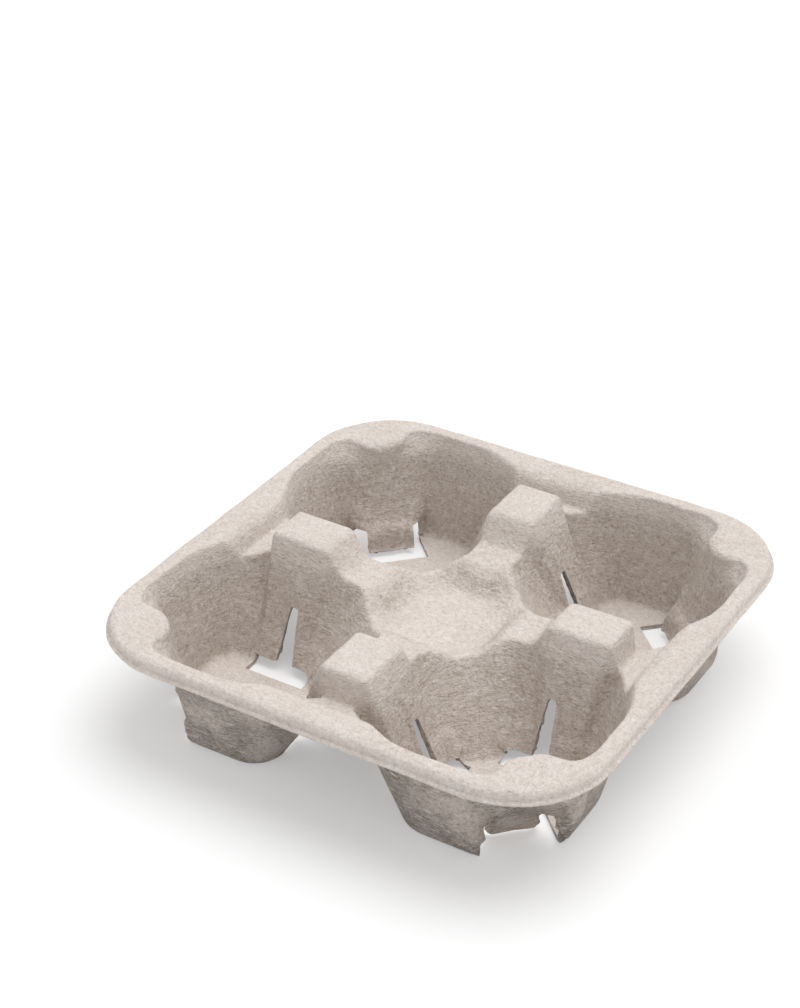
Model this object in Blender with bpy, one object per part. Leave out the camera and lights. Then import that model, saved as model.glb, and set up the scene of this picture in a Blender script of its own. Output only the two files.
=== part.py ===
"""A four-cup carrier of moulded pulp: one thin sheet, drawn down into four wells for drinks cups.

The sheet is lofted through profiles. Each runs from the middle of a well's floor, up its wall, over the
edge of the opening and out to the rim, or to the ridge between two wells. The profiles fill one eighth
of the tray. A swapped copy and two mirrors make the rest, a Solidify gives the sheet its thickness, and
a Boolean cuts the slots that let the walls flex around a cup.

Lengths are in millimetres and the ground is z = 0. In one eighth, u runs from the middle of the tray
along a post to the rim, and v runs across, so that v = 0 is the ridge between two wells and u = v is
the diagonal from the middle of the tray to its corner.
"""
import math
from typing import NamedTuple

import bmesh
import bpy
import numpy as np

MM = 0.001

# Overall size
HALF_WIDTH = 105.0
CORNER_RADIUS = 38.0
RIM_HEIGHT = 48.0
SHEET = 2.0

# Rolled edge of the rim
LIP_RADIUS = 2.6
LIP_DROP = 4.6
LIP_FLARE = 0.6

# Deck between a well and the rim. Its edge sweeps from the corner of a saddle's step to the narrow deck
DECK_WIDTH = 7.0
DECK_WIDTH_AT_SADDLE = 14.0
DECK_SWEEP_LENGTH = 22.5

# Post between two wells
POST_HEIGHT = 51.0
POST_LENGTH = 23.5
POST_WIDTH = 19.6
POST_INNER_RUN = 9.0
POST_OUTER_RUN = 4.0

# Saddle between a post and the rim, with a ledge on both sides and a step up to the deck
SADDLE_HEIGHT = 39.5
SADDLE_LENGTH = 7.5
SADDLE_WIDTH = 13.6
LEDGE_WIDTH = 34.0
STEP_RUN = 4.5
STEP_CORNER = 3.5
STEP_ROUNDING = 1.5

# Island in the middle of the tray: a sunk pad and its crest
PAD_HEIGHT = 28.7
PAD_RADIUS = 19.5
CREST_HEIGHT = 34.2
CREST_RADIUS = 29.6
CREST_FLAT = 9.0
CREST_BOW = 0.7

# Shelf in front of a post, with a dip at its inner end and a step down to the pad
SHELF_HEIGHT = 39.0
SHELF_RISE = 1.2
SHELF_DIP = 2.0
SHELF_INNER = 27.5
SHELF_WIDTH = 19.0
SHELF_FLARE = 3.5
SHELF_STEP_RUN = 7.0
SHELF_STEP_WIDTH = 13.0
POCKET_ROUNDING = 1.0

# Well at its floor
FLOOR_RIDGE_SIDE = 30.1
FLOOR_INNER_RADIUS = 56.0
WALL_RUN = 11.7
FOOT_RADIUS = 11.0
CORE_RADIUS = 15.0

# Nose that stands into a well at the tray's corner, with a valley and a floor pocket on both sides
NOSE_DEPTH = 15.5
NOSE_VALLEY_DEPTH = 7.6
NOSE_TIP_WIDTH = 9.0
NOSE_VALLEY_SIDE = 15.0
NOSE_RUN = 15.1
NOSE_FLOOR_WIDTH = 24.0
NOSE_FLOOR_BOW = 1.2
NOSE_POCKET_DEPTH = 10.5
NOSE_POCKET_SIDE = 2.0
NOSE_POCKET_ROUNDING = 3.0

# Arched panel low on a nose, pressed in towards the well
PANEL_INSET = 1.8
PANEL_TOP = 16.0
PANEL_SHOULDER = 11.5
PANEL_STEP = 2.0

# Bends of the sheet
EDGE_RADIUS = 4.5
NOSE_EDGE_RADIUS = 8.0
FLOOR_BEND_RADIUS = 3.4

# Slot under each side of a post: a slit up the wall and a gap along the floor
POST_SLIT_FROM_END = 7.0
POST_SLIT_TOP = 26.5
POST_SLIT_WIDTH_TOP = 3.6
POST_SLIT_WIDTH = 7.4
POST_GAP_LENGTH = 27.0
POST_GAP_DEPTH = 7.5
POST_GAP_HEIGHT = 4.4

# Slots on both sides of a nose, and the gap under the tongue between them
NOSE_TONGUE_WIDTH = 20.5
NOSE_SLIT_TOP = 11.5
NOSE_SLIT_WIDTH = 4.4
NOSE_CUT_BEFORE = 8.0
NOSE_CUT_BEYOND = 24.0
NOSE_GAP_HEIGHT = 2.6

# Mesh rings along a profile
BEND_RINGS = 2
WALL_RINGS = 3
EDGE_RINGS = 3
LIP_RINGS = 3

MERGE_DISTANCE = 0.00005
PULP_COLOUR = (0.50, 0.44, 0.39, 1.0)
PULP_ROUGHNESS = 0.9

# Places that follow from the sizes above, as distances from the middle of the tray
OPENING = HALF_WIDTH - DECK_WIDTH
RIM = HALF_WIDTH - LIP_RADIUS - LIP_FLARE
CORNER_CENTRE = HALF_WIDTH - CORNER_RADIUS
STEP_TOP = HALF_WIDTH - DECK_WIDTH_AT_SADDLE
STEP_FOOT = STEP_TOP - STEP_RUN
SADDLE_START = STEP_FOOT - SADDLE_LENGTH
POST_OUTER = SADDLE_START - POST_OUTER_RUN
POST_INNER = POST_OUTER - POST_LENGTH
FLOOR_RIM_SIDE = OPENING - WALL_RUN
NOSE_TOP_RADIUS = math.sqrt(2) * CORNER_CENTRE + CORNER_RADIUS - DECK_WIDTH - NOSE_DEPTH
NOSE_FLOOR_RADIUS = NOSE_TOP_RADIUS - NOSE_RUN


class Profile(NamedTuple):
    """Control points of one profile: the floor's edge, the opening's edge, a point on the way, and the end.

    Outward is the rim's direction in degrees from the u axis, or None where the profile ends on a ridge.
    Panel is the height of the arched panel's top, or None where the wall has no panel.
    """

    floor: tuple
    edge: tuple
    via: tuple
    end: tuple
    outward: float | None = None
    edge_radius: float = EDGE_RADIUS
    panel: float | None = None


def between(first, second, share):
    return tuple(a + (b - a) * share for a, b in zip(first, second))


def on_diagonal(radius, side=0.0):
    """The point this far out along the diagonal, and this far from it towards the u axis."""
    return (radius + side) / math.sqrt(2), (radius - side) / math.sqrt(2)


def floor_chamfer(share):
    """The floor's edge on the side that faces the island, from the diagonal outwards."""
    inner = on_diagonal(FLOOR_INNER_RADIUS)
    outer = (math.sqrt(2) * FLOOR_INNER_RADIUS - FLOOR_RIDGE_SIDE, FLOOR_RIDGE_SIDE)
    return between(inner, outer, share)


def floor_by_ridge(share):
    """The floor's edge on the straight side along the ridge."""
    return between(floor_chamfer(1.0), floor_corner(0.0), share)


def floor_corner(angle):
    """The floor's edge on the rounded corner between the ridge side and the rim side."""
    turn = math.radians(angle)
    return (
        FLOOR_RIM_SIDE - FOOT_RADIUS * (1 - math.sin(turn)),
        FLOOR_RIDGE_SIDE + FOOT_RADIUS * (1 - math.cos(turn)),
    )


def nose_pocket():
    """The tip of the floor's pocket between the nose and the rim side."""
    return on_diagonal(NOSE_FLOOR_RADIUS + NOSE_POCKET_DEPTH, NOSE_FLOOR_WIDTH / 2 + NOSE_POCKET_SIDE)


def floor_by_rim(share):
    """The floor's edge on the straight side along the rim."""
    end = (FLOOR_RIM_SIDE, nose_pocket()[1] - NOSE_POCKET_ROUNDING)
    return between(floor_corner(90.0), end, share)


def island_profiles():
    """From the diagonal of the island to the shelf in front of a post."""
    step_foot = SHELF_INNER - SHELF_STEP_RUN
    step_side = SHELF_STEP_WIDTH / 2
    pad = (*on_diagonal(PAD_RADIUS), PAD_HEIGHT)
    pocket = (step_foot + POCKET_ROUNDING, step_side + POCKET_ROUNDING, PAD_HEIGHT + POCKET_ROUNDING)
    crest = (*on_diagonal(CREST_RADIUS), CREST_HEIGHT)
    crest_end = (*on_diagonal(CREST_RADIUS + CREST_BOW, CREST_FLAT / 2), CREST_HEIGHT)

    shelf_length = POST_INNER - POST_INNER_RUN - SHELF_INNER

    def on_shelf(share, half, height):
        return SHELF_INNER + shelf_length * share, half, SHELF_HEIGHT + height

    shelf_corner = on_shelf(0.13, SHELF_WIDTH / 2 + SHELF_FLARE, -SHELF_DIP / 4)
    shelf_edge = on_shelf(0.33, SHELF_WIDTH / 2 + SHELF_FLARE / 4, SHELF_RISE / 4)
    shelf_middle = on_shelf(0.57, SHELF_WIDTH / 2, SHELF_RISE / 2)
    return [
        Profile(floor_chamfer(0.0), crest, pad, (0.0, 0.0, PAD_HEIGHT)),
        Profile(
            floor_chamfer(0.3),
            crest_end,
            between(pad, pocket, 0.35),
            (step_foot * 0.35, 0.0, PAD_HEIGHT),
        ),
        Profile(
            floor_chamfer(0.65),
            between(crest_end, shelf_corner, 0.4),
            between(pad, pocket, 0.7),
            (step_foot * 0.7, 0.0, PAD_HEIGHT),
        ),
        Profile(floor_chamfer(0.87), shelf_corner, pocket, (step_foot, 0.0, PAD_HEIGHT)),
        Profile(
            floor_by_ridge(0.07),
            shelf_edge,
            on_shelf(0.03, step_side, -SHELF_DIP / 2),
            on_shelf(0.0, 0.0, -SHELF_DIP),
        ),
        Profile(
            floor_by_ridge(0.17),
            shelf_middle,
            on_shelf(0.47, step_side, 0.0),
            on_shelf(0.47, 0.0, -SHELF_DIP / 4),
        ),
    ]


def post_profiles():
    """Up a post's inner end, along its top and down to the saddle."""

    def across(floor_share, u, width, height):
        floor = floor_by_ridge(floor_share)
        return Profile(floor, (u, width / 2, height), (u, width / 4, height), (u, 0.0, height))

    return [
        across(0.23, POST_INNER - POST_INNER_RUN, SHELF_WIDTH, SHELF_HEIGHT + SHELF_RISE),
        across(0.34, POST_INNER, POST_WIDTH, POST_HEIGHT),
        across(0.54, (POST_INNER + POST_OUTER) / 2, POST_WIDTH, POST_HEIGHT),
        across(0.77, POST_OUTER, POST_WIDTH, POST_HEIGHT),
        across(0.94, SADDLE_START, SADDLE_WIDTH, SADDLE_HEIGHT),
    ]


def saddle_profiles():
    """Along the saddle's ledge and up its step."""

    def ledge(angle, u, v, height, end):
        via = ((u + end) / 2, v / 2, height)
        return Profile(floor_corner(angle), (u, v, height), via, (end, 0.0, height))

    middle = (SADDLE_START + STEP_FOOT) / 2
    step_corner = LEDGE_WIDTH / 2 + STEP_CORNER
    return [
        ledge(10.0, middle, (SADDLE_WIDTH + LEDGE_WIDTH) / 4, SADDLE_HEIGHT, middle),
        ledge(35.0, STEP_FOOT, LEDGE_WIDTH / 2, SADDLE_HEIGHT, STEP_FOOT),
        ledge(55.0, STEP_TOP, step_corner, RIM_HEIGHT - STEP_ROUNDING, STEP_TOP),
    ]


def rim_profiles():
    """Along the rim, where the deck narrows and then runs straight to the corner."""
    sweep_start = LEDGE_WIDTH / 2 + STEP_CORNER
    sweep_end = sweep_start + DECK_SWEEP_LENGTH

    def across(floor, u, v, end):
        via = ((u + RIM) / 2, (v + end) / 2, RIM_HEIGHT)
        return Profile(floor, (u, v, RIM_HEIGHT), via, (RIM, end, RIM_HEIGHT), 0.0)

    def in_sweep(floor, share, end_share):
        u = STEP_TOP + (OPENING - STEP_TOP) * math.sin(math.pi / 2 * share)
        return across(floor, u, sweep_start + DECK_SWEEP_LENGTH * share, sweep_end * end_share)

    def straight(floor_share, share):
        v = sweep_end + (CORNER_CENTRE - sweep_end) * share
        return across(floor_by_rim(floor_share), OPENING, v, v)

    return [
        in_sweep(floor_corner(72.0), 0.13, 0.0),
        in_sweep(floor_corner(90.0), 0.33, 0.3),
        in_sweep(floor_by_rim(0.31), 0.6, 0.6),
        straight(0.54, 0.0),
        straight(0.78, 0.4),
        straight(1.0, 0.8),
    ]


def nose_profiles():
    """Around the nose to the tray's diagonal."""
    pocket = nose_pocket()
    tongue = on_diagonal(NOSE_FLOOR_RADIUS)
    tongue_side = on_diagonal(NOSE_FLOOR_RADIUS + NOSE_FLOOR_BOW, NOSE_FLOOR_WIDTH / 2)
    tip_side = NOSE_TIP_WIDTH / 2

    def flank(share):
        """The opening's edge, which waves from the flat tip's end, at a share of 0, to the valley, at 1."""
        wave = (1 - math.cos(math.pi * share)) / 2
        side = tip_side + (NOSE_VALLEY_SIDE - tip_side) * share
        return on_diagonal(NOSE_TOP_RADIUS + NOSE_VALLEY_DEPTH * wave, side)

    def towards(floor, place, angle, radius, panel=None):
        edge = (*place, RIM_HEIGHT)
        turn = math.radians(angle)
        reach = RIM - CORNER_CENTRE
        end = (CORNER_CENTRE + reach * math.cos(turn), CORNER_CENTRE + reach * math.sin(turn), RIM_HEIGHT)
        return Profile(floor, edge, between(edge, end, 0.5), end, angle, radius, panel)

    valley_bend = between((OPENING, CORNER_CENTRE), flank(1.0), 0.3)
    panel_bow = PANEL_TOP - PANEL_STEP / 2
    return [
        towards(between(floor_by_rim(1.0), pocket, 0.75), valley_bend, 4.0, EDGE_RADIUS),
        towards(pocket, flank(1.0), 13.0, EDGE_RADIUS),
        towards(between(pocket, tongue_side, 0.5), flank(0.67), 22.0, NOSE_EDGE_RADIUS),
        towards(tongue_side, flank(0.36), 31.0, NOSE_EDGE_RADIUS, PANEL_SHOULDER),
        towards(between(tongue_side, tongue, 0.5), flank(0.0), 38.0, NOSE_EDGE_RADIUS, panel_bow),
        towards(tongue, on_diagonal(NOSE_TOP_RADIUS), 45.0, NOSE_EDGE_RADIUS, PANEL_TOP),
    ]


def bend(start, corner, finish, radius, count):
    """Points of a round bend that replaces a corner, from the start's side to the finish's side."""
    start, corner, finish = (np.array(p, float) for p in (start, corner, finish))
    back, onward = start - corner, finish - corner
    back_length, onward_length = np.linalg.norm(back), np.linalg.norm(onward)
    back, onward = back / back_length, onward / onward_length
    half = math.acos(max(-1.0, min(1.0, float(back @ onward)))) / 2
    reach = min(radius / math.tan(half), 0.45 * back_length, 0.45 * onward_length)
    points = []
    for step in range(count + 1):
        share = step / count
        first = corner + back * reach * (1 - share)
        second = corner + onward * reach * share
        points.append(first + (second - first) * share)
    return points


def run(start, finish, count):
    """Points from just after the start to just before the finish."""
    return [start + (finish - start) * step / count for step in range(1, count)]


def wall_points(start, finish, panel):
    """Points on the wall between its two bends, with a step inwards at the top of a panel."""
    if panel is None:
        return run(start, finish, WALL_RINGS)
    below = start + (finish - start) * (panel - PANEL_STEP / 2 - start[2]) / (finish[2] - start[2])
    above = start + (finish - start) * (panel + PANEL_STEP / 2 - start[2]) / (finish[2] - start[2])
    inwards = np.array((*on_diagonal(-PANEL_INSET), 0.0))
    return [below + inwards, above]


def profile_points(profile, share):
    """The profile's points, from the middle of the well outwards."""
    centre = (FLOOR_INNER_RADIUS + NOSE_FLOOR_RADIUS) / 2 / math.sqrt(2)
    turn = math.radians(-135.0 + 180.0 * share)
    middle = np.array((centre, centre, SHEET))
    core = middle + CORE_RADIUS * np.array((math.cos(turn), math.sin(turn), 0.0))
    floor = np.array((*profile.floor, SHEET))
    edge, via, end = (np.array(p, float) for p in (profile.edge, profile.via, profile.end))
    foot = bend(core, floor, edge, FLOOR_BEND_RADIUS, BEND_RINGS)
    shoulder = bend(floor, edge, via, profile.edge_radius, EDGE_RINGS)
    return [middle, core, *foot, *wall_points(foot[-1], shoulder[0], profile.panel), *shoulder, via, end]


def lip_points(profile):
    """The rolled edge, from the end of the deck down to the sheet's trimmed edge."""
    turn = math.radians(profile.outward)
    outward = np.array((math.cos(turn), math.sin(turn), 0.0))
    up = np.array((0.0, 0.0, 1.0))
    end = np.array(profile.end)
    points = []
    for step in range(1, LIP_RINGS + 1):
        roll = math.pi / 2 * step / LIP_RINGS
        points.append(end + LIP_RADIUS * (outward * math.sin(roll) - up * (1 - math.cos(roll))))
    points.append(end + (LIP_RADIUS + LIP_FLARE) * outward - LIP_DROP * up)
    return points


def eighth_of_sheet():
    """Vertices and faces of one eighth of the tray's upper surface."""
    profiles = island_profiles() + post_profiles() + saddle_profiles() + rim_profiles() + nose_profiles()
    columns = []
    for index, profile in enumerate(profiles):
        points = profile_points(profile, index / (len(profiles) - 1))
        if profile.outward is not None:
            points += lip_points(profile)
        columns.append(points)
    vertices, starts = [], []
    for points in columns:
        starts.append(len(vertices))
        vertices += points
    faces = []
    for index in range(len(columns) - 1):
        rings = min(len(columns[index]), len(columns[index + 1]))
        for ring in range(rings - 1):
            a, b = starts[index] + ring, starts[index + 1] + ring
            faces.append((a, a + 1, b + 1, b))
    return vertices, faces


def quarter_mesh():
    """The upper surface over one well: the eighth and its copy across the diagonal."""
    vertices, faces = eighth_of_sheet()
    mesh = bpy.data.meshes.new("cup_tray")
    form = bmesh.new()
    for swapped in (False, True):
        order = (1, 0, 2) if swapped else (0, 1, 2)
        made = [form.verts.new([point[axis] * MM for axis in order]) for point in vertices]
        for face in faces:
            corners = [made[index] for index in (reversed(face) if swapped else face)]
            form.faces.new(corners)
    bmesh.ops.remove_doubles(form, verts=form.verts, dist=MERGE_DISTANCE)
    bmesh.ops.recalc_face_normals(form, faces=form.faces)
    if sum(face.normal.z * face.calc_area() for face in form.faces) < 0:
        bmesh.ops.reverse_faces(form, faces=form.faces)
    form.to_mesh(mesh)
    form.free()
    return mesh


def prism(form, outline, direction, low, high):
    """A closed prism: the outline's points are pushed along the direction from low to high."""
    direction = np.array(direction, float)
    rings = []
    for offset in (low, high):
        rings.append([form.verts.new((np.array(p, float) + direction * offset) * MM) for p in outline])
    count = len(outline)
    form.faces.new(rings[0])
    form.faces.new(list(reversed(rings[1])))
    for index in range(count):
        following = (index + 1) % count
        form.faces.new((rings[0][following], rings[0][index], rings[1][index], rings[1][following]))


def slot_cutters():
    """One mesh that holds the cutters of every slot."""
    form = bmesh.new()
    up = np.array((0.0, 0.0, 1.0))
    gap_end = FLOOR_RIDGE_SIDE + POST_GAP_DEPTH
    slit_centre = POST_INNER + POST_SLIT_FROM_END
    post_outline = [
        (-POST_GAP_LENGTH / 2, -SHEET),
        (POST_GAP_LENGTH / 2, -SHEET),
        (POST_GAP_LENGTH / 2, POST_GAP_HEIGHT),
        (POST_SLIT_WIDTH / 2, POST_GAP_HEIGHT),
        (POST_SLIT_WIDTH_TOP / 2, POST_SLIT_TOP),
        (-POST_SLIT_WIDTH_TOP / 2, POST_SLIT_TOP),
        (-POST_SLIT_WIDTH / 2, POST_GAP_HEIGHT),
        (-POST_GAP_LENGTH / 2, POST_GAP_HEIGHT),
    ]
    nose_cut_start = NOSE_FLOOR_RADIUS - NOSE_CUT_BEFORE
    nose_cut_end = NOSE_FLOOR_RADIUS + NOSE_CUT_BEYOND
    half = NOSE_TONGUE_WIDTH / 2
    reach = half + NOSE_SLIT_WIDTH
    nose_outline = [
        (-reach, -SHEET),
        (reach, -SHEET),
        (reach, NOSE_SLIT_TOP),
        (half, NOSE_SLIT_TOP),
        (half, NOSE_GAP_HEIGHT),
        (-half, NOSE_GAP_HEIGHT),
        (-half, NOSE_SLIT_TOP),
        (-reach, NOSE_SLIT_TOP),
    ]
    for quarter in range(4):
        turn = math.pi / 2 * quarter
        out = np.array((math.cos(turn), math.sin(turn), 0.0))
        across = np.array((-math.sin(turn), math.cos(turn), 0.0))
        post_face = [out * (slit_centre + a) + up * b for a, b in post_outline]
        prism(form, post_face, across, -gap_end, gap_end)
        corner = (out + across) / math.sqrt(2)
        aside = (out - across) / math.sqrt(2)
        nose_face = [aside * a + up * b for a, b in nose_outline]
        prism(form, nose_face, corner, nose_cut_start, nose_cut_end)
    bmesh.ops.recalc_face_normals(form, faces=form.faces)
    mesh = bpy.data.meshes.new("slot_cutters")
    form.to_mesh(mesh)
    form.free()
    cutters = bpy.data.objects.new("slot_cutters", mesh)
    cutters.hide_render = True
    cutters.display_type = "WIRE"
    bpy.context.scene.collection.objects.link(cutters)
    return cutters


def pulp_material():
    material = bpy.data.materials.new("moulded_pulp")
    material.use_nodes = True
    shader = material.node_tree.nodes["Principled BSDF"]
    shader.inputs["Base Color"].default_value = PULP_COLOUR
    shader.inputs["Roughness"].default_value = PULP_ROUGHNESS
    shader.inputs["Metallic"].default_value = 0.0
    return material


def cup_tray():
    tray = bpy.data.objects.new("cup_tray", quarter_mesh())
    bpy.context.scene.collection.objects.link(tray)
    tray.data.materials.append(pulp_material())
    tray.data.shade_smooth()
    mirror = tray.modifiers.new("other_wells", "MIRROR")
    mirror.use_axis = (True, True, False)
    mirror.use_clip = False
    mirror.merge_threshold = MERGE_DISTANCE
    sheet = tray.modifiers.new("sheet", "SOLIDIFY")
    sheet.thickness = SHEET * MM
    sheet.offset = -1.0
    sheet.use_even_offset = True
    slots = tray.modifiers.new("slots", "BOOLEAN")
    slots.object = slot_cutters()
    slots.operation = "DIFFERENCE"
    slots.solver = "EXACT"
    return tray


def main():
    for obj in list(bpy.data.objects):
        bpy.data.objects.remove(obj, do_unlink=True)
    cup_tray()


main()
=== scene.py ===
"""Dresses the moulded-pulp cup carrier: a fine sheet with torn slots, loose fibres and a pale stage."""

import math

import bmesh
import bpy
import numpy as np
from bpy.props import FloatProperty, FloatVectorProperty, IntProperty, PointerProperty
from bpy.types import Operator, Panel, PropertyGroup
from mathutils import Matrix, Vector, noise


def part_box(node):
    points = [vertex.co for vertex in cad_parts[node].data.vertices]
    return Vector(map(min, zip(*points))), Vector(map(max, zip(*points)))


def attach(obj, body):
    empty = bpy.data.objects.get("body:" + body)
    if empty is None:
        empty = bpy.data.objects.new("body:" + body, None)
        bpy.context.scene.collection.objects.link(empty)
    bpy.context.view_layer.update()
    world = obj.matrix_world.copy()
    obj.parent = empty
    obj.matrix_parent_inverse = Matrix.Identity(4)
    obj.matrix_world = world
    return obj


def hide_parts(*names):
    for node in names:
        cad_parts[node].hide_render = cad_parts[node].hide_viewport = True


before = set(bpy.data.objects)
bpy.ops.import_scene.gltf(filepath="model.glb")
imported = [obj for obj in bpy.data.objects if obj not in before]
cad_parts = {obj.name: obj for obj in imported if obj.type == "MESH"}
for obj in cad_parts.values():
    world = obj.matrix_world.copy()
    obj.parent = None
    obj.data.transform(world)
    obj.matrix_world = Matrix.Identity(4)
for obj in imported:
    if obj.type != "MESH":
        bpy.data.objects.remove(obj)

bl_info = {
    "name": "Moulded pulp cup carrier",
    "version": (1, 0, 0),
    "blender": (4, 5, 0),
    "location": "3D View > Sidebar > Cup carrier",
    "description": "Makes a four-cup carrier of moulded pulp and its stage",
    "category": "Object",
}

MM = 0.001
NODE = "cup_tray"
LOW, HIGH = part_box(NODE)

# Rolled edge of the rim
LIP_RADIUS = 2.2 * MM
LIP_DROP = 5.0 * MM
LIP_FLARE = 0.55 * MM
# Bead and flange below the roll, as shares of the flare outwards and of the drop
LIP_PROFILE = ((0.0, 0.62), (0.2, 0.72), (2.1, 0.8), (2.6, 0.9), (2.4, 1.0))

# Deck between a well and the rim
DECK_WIDTH_AT_SADDLE = 14.0 * MM
DECK_SWEEP_LENGTH = 22.5 * MM

# Posts and saddles
POST_INNER_RUN = 9.0 * MM
POST_OUTER_RUN = 4.0 * MM
SADDLE_LENGTH = 7.5 * MM
SADDLE_WIDTH = 13.6 * MM
LEDGE_WIDTH = 34.0 * MM
STEP_RUN = 4.5 * MM
STEP_CORNER = 3.5 * MM
STEP_ROUNDING = 1.5 * MM

# Island and shelves
CREST_FLAT = 9.0 * MM
CREST_BOW = 0.7 * MM
SHELF_RISE = 1.2 * MM
SHELF_DIP = 2.0 * MM
SHELF_INNER = 27.5 * MM
SHELF_WIDTH = 19.0 * MM
SHELF_FLARE = 3.5 * MM
SHELF_STEP_RUN = 7.0 * MM
SHELF_STEP_WIDTH = 13.0 * MM
POCKET_ROUNDING = 1.0 * MM

# Floors of the wells
FLOOR_RIDGE_SIDE = 30.1 * MM
FLOOR_INNER_RADIUS = 56.0 * MM
WALL_RUN = 11.7 * MM
FOOT_RADIUS = 11.0 * MM
CORE_RADIUS = 15.0 * MM

# Noses at the corners
NOSE_DEPTH = 15.5 * MM
NOSE_VALLEY_DEPTH = 7.6 * MM
NOSE_TIP_WIDTH = 9.0 * MM
NOSE_VALLEY_SIDE = 15.0 * MM
NOSE_RUN = 15.1 * MM
NOSE_FLOOR_WIDTH = 24.0 * MM
NOSE_FLOOR_BOW = 1.2 * MM
NOSE_POCKET_DEPTH = 10.5 * MM
NOSE_POCKET_SIDE = 2.0 * MM
NOSE_POCKET_ROUNDING = 3.0 * MM

# Arched panel low on a nose
PANEL_INSET = 0.9 * MM
PANEL_TOP = 16.0 * MM
PANEL_MIDDLE = 14.88 * MM
PANEL_SHOULDER = 10.5 * MM
PANEL_STEP = 1.2 * MM

# Blend of the wall round a nose with the walls beside it, over the last stations before the diagonal
BLEND_FROM = 9.0 * MM
BLEND_TO = 46.0 * MM
BLEND_RISE = 8.0 * MM
BLEND_ROUNDS = 80
BLEND_STATIONS = 8

# Bends
EDGE_RADIUS = 3.2 * MM
NOSE_EDGE_RADIUS = 6.5 * MM
FLOOR_BEND_RADIUS = 3.4 * MM
POCKET_BEND_RADIUS = 1.2 * MM
# Largest share of a straight stretch that a bend takes up
BEND_SHARE = 0.45

# Slots
POST_SLIT_FROM_END = 7.0 * MM
POST_SLIT_TOP = 26.5 * MM
POST_SLIT_WIDTH_TOP = 3.6 * MM
POST_SLIT_WIDTH = 7.4 * MM
POST_GAP_LENGTH = 27.0 * MM
POST_GAP_DEPTH = 7.5 * MM
POST_GAP_HEIGHT = 4.4 * MM
NOSE_TONGUE_WIDTH = 20.5 * MM
NOSE_SLIT_TOP = 11.5 * MM
NOSE_SLIT_WIDTH = 4.4 * MM
NOSE_CUT_BEFORE = 8.0 * MM
NOSE_GAP_HEIGHT = 2.6 * MM

# Margins round a slot and its mark, where the mesh is made finer
MARGIN = 3.0 * MM
SMALL_MARGIN = 2.0 * MM
WIDE_MARGIN = 4.0 * MM
POST_CORE = 8.0 * MM

# Marks that the mould's slot formers press into the wall round the slots
MARK_STEP = 1.0 * MM
POST_MARK_DEPTH = 0.9 * MM
POST_MARK_TOP = 36.5 * MM
POST_MARK_BORDER = 1.6 * MM
POST_MARK_BAR_TOP = 13.0 * MM
POST_MARK_BAR_LENGTH = 33.0 * MM
NOSE_MARK_DEPTH = 1.1 * MM
NOSE_MARK_TOP = 20.5 * MM
NOSE_MARK_WIDTH = 8.6 * MM

# Fine mesh
CORE_RINGS = 3
FLOOR_RINGS = 5
BEND_RINGS = 4
LOW_WALL_RINGS = 4
HIGH_WALL_RINGS = 8
EDGE_RINGS = 5
VIA_RINGS = 3
DECK_RINGS = 3
LIP_RINGS = 4
COLUMN_SPACING = 2.0 * MM
MERGE_DISTANCE = 0.02 * MM
SLIVER_DISTANCE = 0.15 * MM
SMOOTH_ROUNDS = 1
SMOOTH_SHARE = 0.15
# Beyond this share of the half width, points at the lip's height stay where they are
DECK_SHARE = 0.95
# Edges that turn by more than this look sharp
SHARP_ANGLE = math.radians(62)

# Unevenness of the sheet, and its torn edges above the feet
WAVE_LENGTH = 26.0 * MM
WAVE_HEIGHT = 0.35 * MM
SMALL_WAVES = 3
SMALL_WAVE_SHARE = 0.4
LEVEL_BELOW = 4.0 * MM
LEVEL_FADE = 6.0 * MM
TORN_STEP = 1.1 * MM
SLOT_TEAR = 0.15 * MM
RIM_TEAR = 0.15 * MM
FOOT_HEIGHT = 3.5 * MM
TEAR_ROUNDS = 3
TEAR_SHARE = 0.35

# Mesh attribute that is 0 on level faces and 1 on steep ones, the lean at which it is 1, and its fade at the
# rim. It paints shade into the pulp's colour: the steep walls of the wells are darkened as if less light reached
# them.
STEEP_SHADE = "steep"
STEEP_LEAN = 0.5
STEEP_FADE = 5.0 * MM

# Patterns of the pulp: how fine each is, in features for each metre
PATCHES = 42.0
CLOUDS = 330.0
SHADES = 610.0
STRANDS = 1300.0
LUMPS = 300.0
GRAIN = 1100.0
DASHES = 900.0
SCRATCHES = 420.0
SCRATCHED_AREAS = 60.0
FIBRE_AREAS = 90.0

# Loose fibres: the lowest place of one, its bow as a share of its length, and the smallest and largest scale
FIBRE_FROM = 3.0 * MM
FIBRE_BOW = 0.35
FIBRE_SCALES = (0.45, 1.3)

# Overhead light: where it comes from, and how wide it looks
LAMP_PLACE = (0.25, 0.6, 2.0)
LAMP_ANGLE = math.radians(50)

# Camera, found by fitting the tray's corners and posts to the photograph
CAMERA_PLACE = (0.3472, -0.6021, 0.5126)
CAMERA_AIM = (-0.0458, 0.0393, 0.048)
CAMERA_LENS = 76.3
CAMERA_SENSOR = 36.0


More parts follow.
